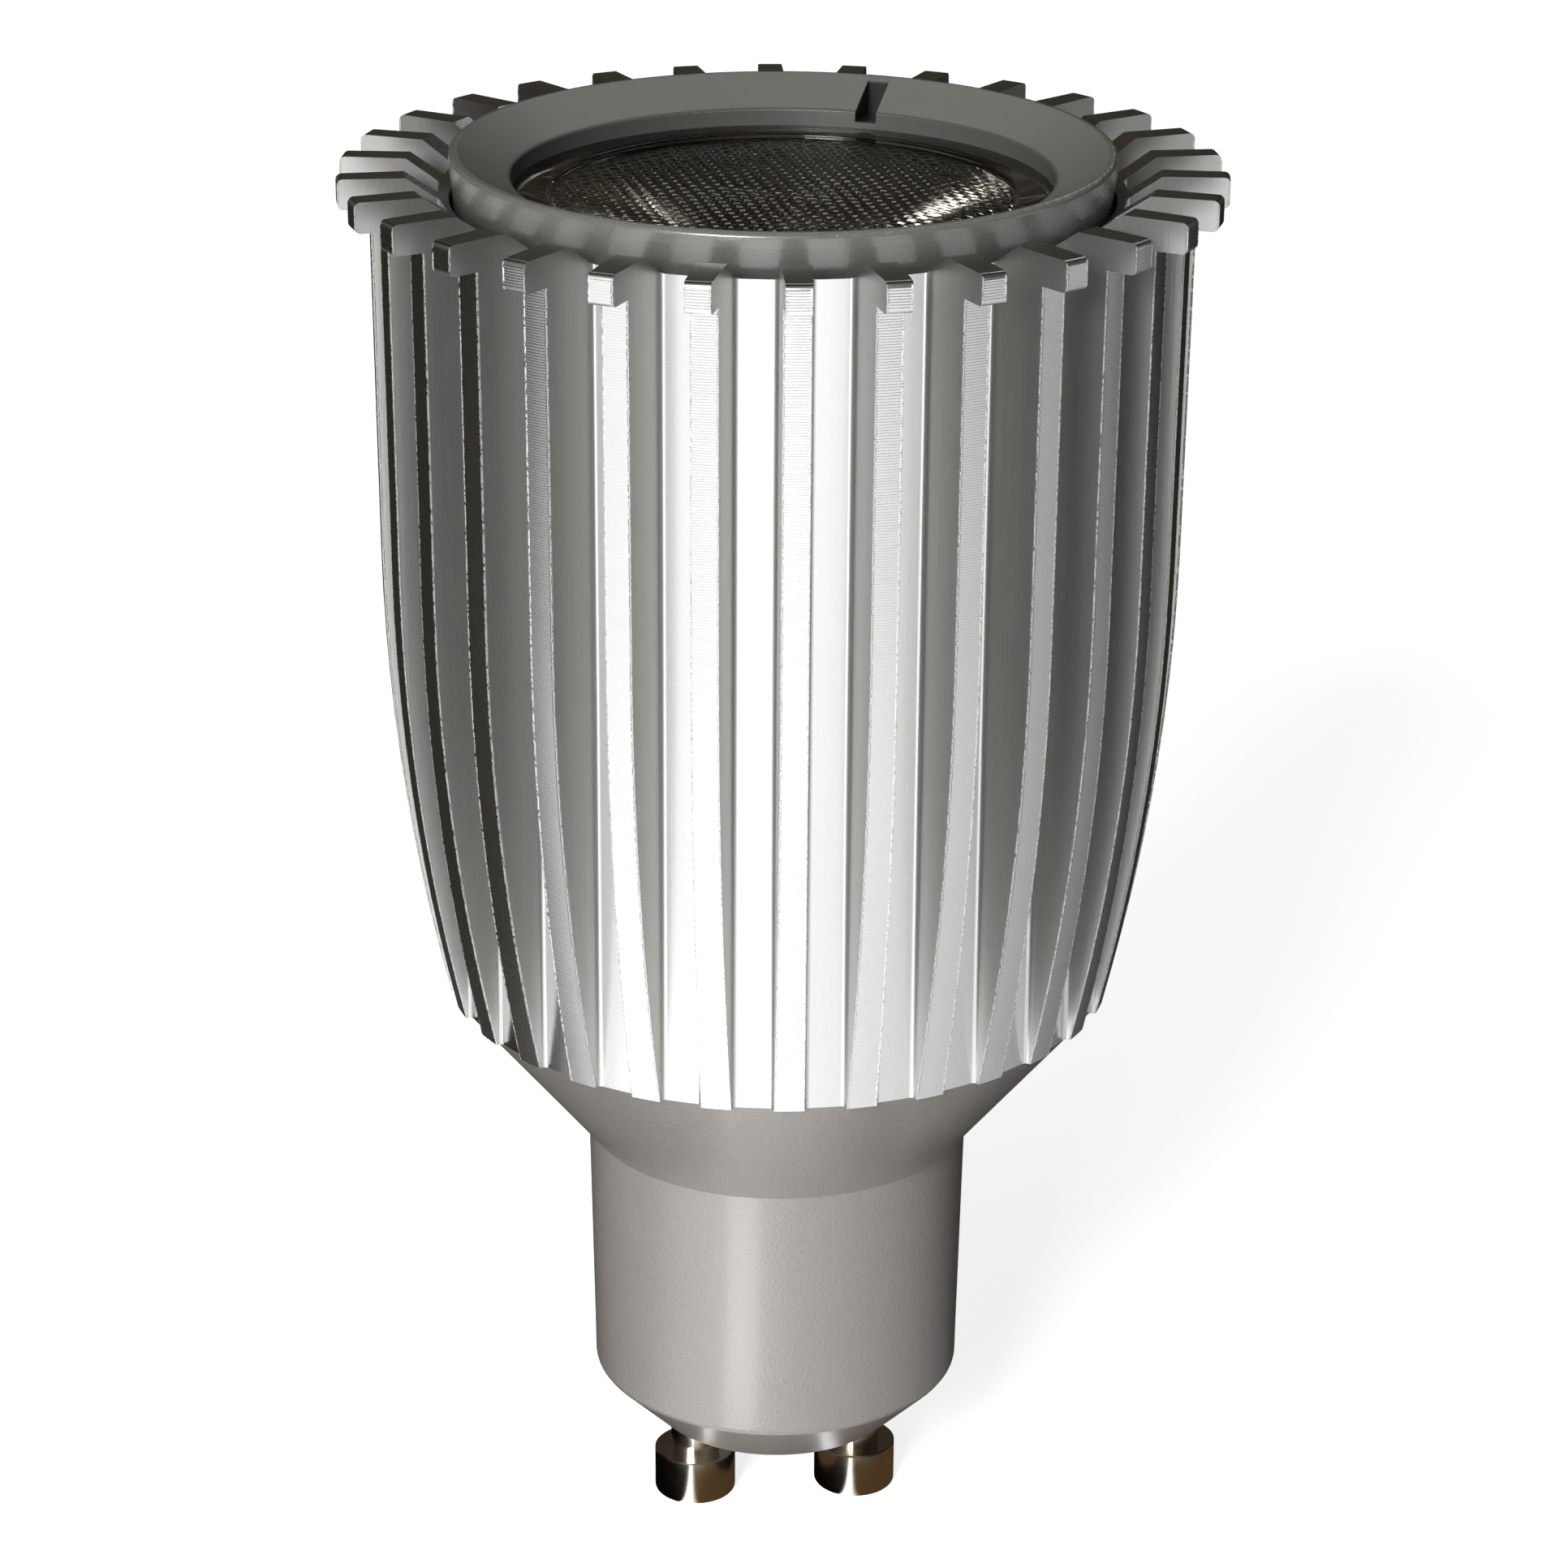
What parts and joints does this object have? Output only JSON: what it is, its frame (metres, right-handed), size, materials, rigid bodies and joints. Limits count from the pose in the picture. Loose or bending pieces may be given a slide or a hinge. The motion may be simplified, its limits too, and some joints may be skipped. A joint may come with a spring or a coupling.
{
  "type": "gu10 spotlight bulb",
  "caption": "Spot lamp with a finned turned-aluminium body, a grey bezel ring round a dimpled lens, and a twist-lock two-pin cap on a stepped plastic neck.",
  "frame": {"origin": "on the lamp's axis, in the plane of the contact pins' ends", "axes": "+Z along the lamp's axis from the pins to the lens, +X along the pin line"},
  "size_m": [0.05, 0.05, 0.0856],
  "materials": {
    "heatsink": "satin, turned and extruded",
    "bezel": "satin moulded",
    "base": "satin moulded",
    "lens": "clear, dimpled face",
    "holder": "matt black",
    "contact": "bright nickel plate",
    "screw": "zinc plated",
    "light_board": "white lacquer",
    "light_package": "white moulding compound",
    "phosphor": "yellow silicone",
    "pad": "soft silicone sheet",
    "insulator": "plain",
    "circuit_board": "lacquered laminate",
    "ferrite": "matt grey",
    "bobbin": "plain",
    "winding": "lacquered wire",
    "can": "printed sleeve, bare here",
    "film": "dipped",
    "chip": "moulded",
    "resistor": "lacquer",
    "wire_red": "sleeving",
    "wire_black": "sleeving",
    "wire_brown": "sleeving"
  },
  "bodies": {
    "root": {"heatsink": "heatsink", "bezel_ring": "bezel", "base_housing": "base", "lens": "lens", "lens_holder": "holder", "contact_pin_left": "contact", "contact_pin_right": "contact", "board_screws": "screw", "housing_screws": "screw", "led_board": "light_board", "led_package": "light_package", "led_phosphor": "phosphor", "thermal_pad": "pad", "insulating_cap": "insulator", "driver_board": "circuit_board", "transformer_core": "ferrite", "transformer_bobbin": "bobbin", "transformer_winding": "winding", "input_capacitor": "can", "output_capacitor": "can", "film_capacitor": "film", "choke_core": "ferrite", "choke_winding": "winding", "bridge_rectifier": "chip", "driver_chip": "chip", "fuse_resistor": "resistor", "mains_lead_left": "wire_brown", "mains_lead_right": "wire_brown", "led_lead_positive": "wire_red", "led_lead_negative": "wire_black"}
  },
  "joints": []
}
